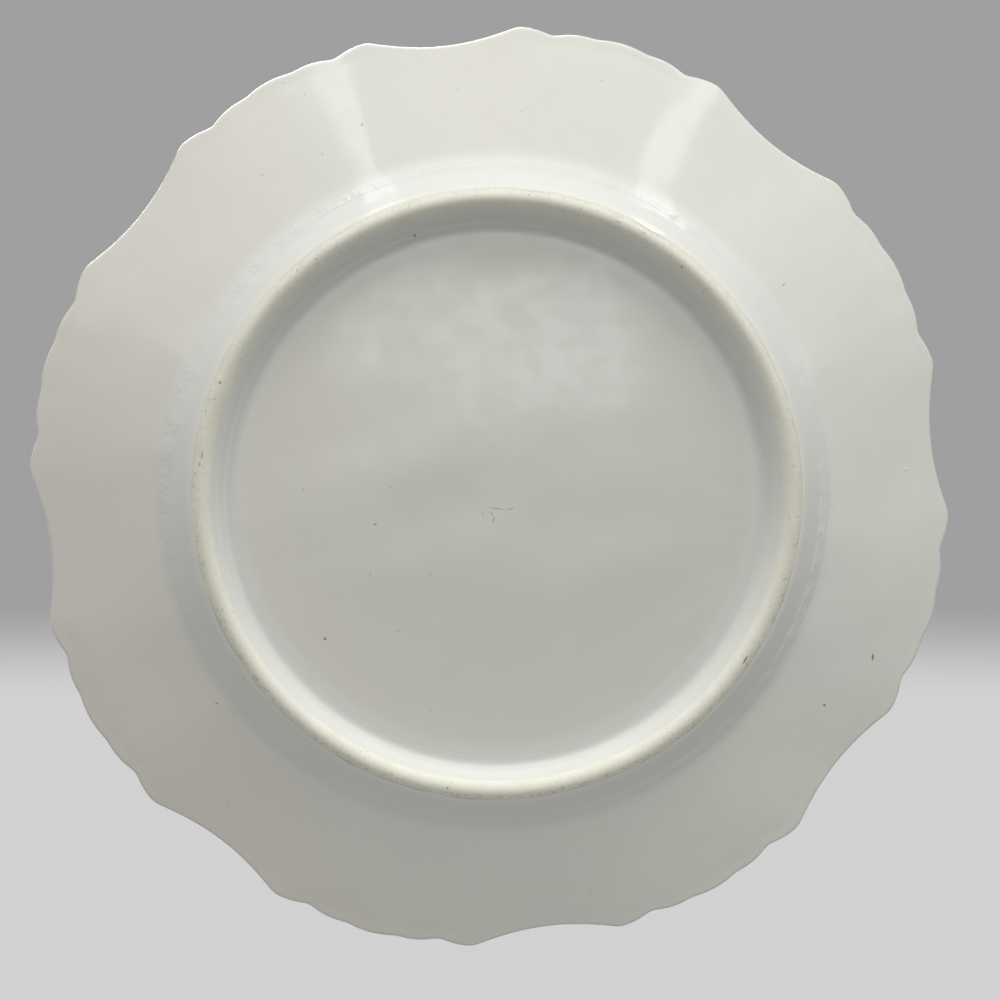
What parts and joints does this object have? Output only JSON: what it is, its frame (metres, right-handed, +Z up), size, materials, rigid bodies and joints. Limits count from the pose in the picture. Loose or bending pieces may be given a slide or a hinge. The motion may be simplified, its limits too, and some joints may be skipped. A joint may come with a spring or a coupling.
{
  "type": "cabinet plate",
  "caption": "Round white glazed porcelain cabinet plate with a flat well, a fluted flange, a scalloped rippled lip and a plain foot ring with a bare bearing band.",
  "frame": {"origin": "middle of the foot ring's flat bearing band, on the table", "axes": "+Z up out of the face, along the plate's axis of symmetry; +X through the middle of a lobe of the lip"},
  "size_m": [0.23, 0.23, 0.021],
  "materials": {
    "bare_porcelain": "bare fired porcelain, cream, matt and slightly gritty",
    "white_glaze": "white glossy glaze over porcelain"
  },
  "bodies": {
    "root": {"porcelain_body": "bare_porcelain", "foot_ring": "bare_porcelain", "face_glaze": "white_glaze", "back_glaze": "white_glaze", "recess_glaze": "white_glaze"}
  },
  "joints": []
}
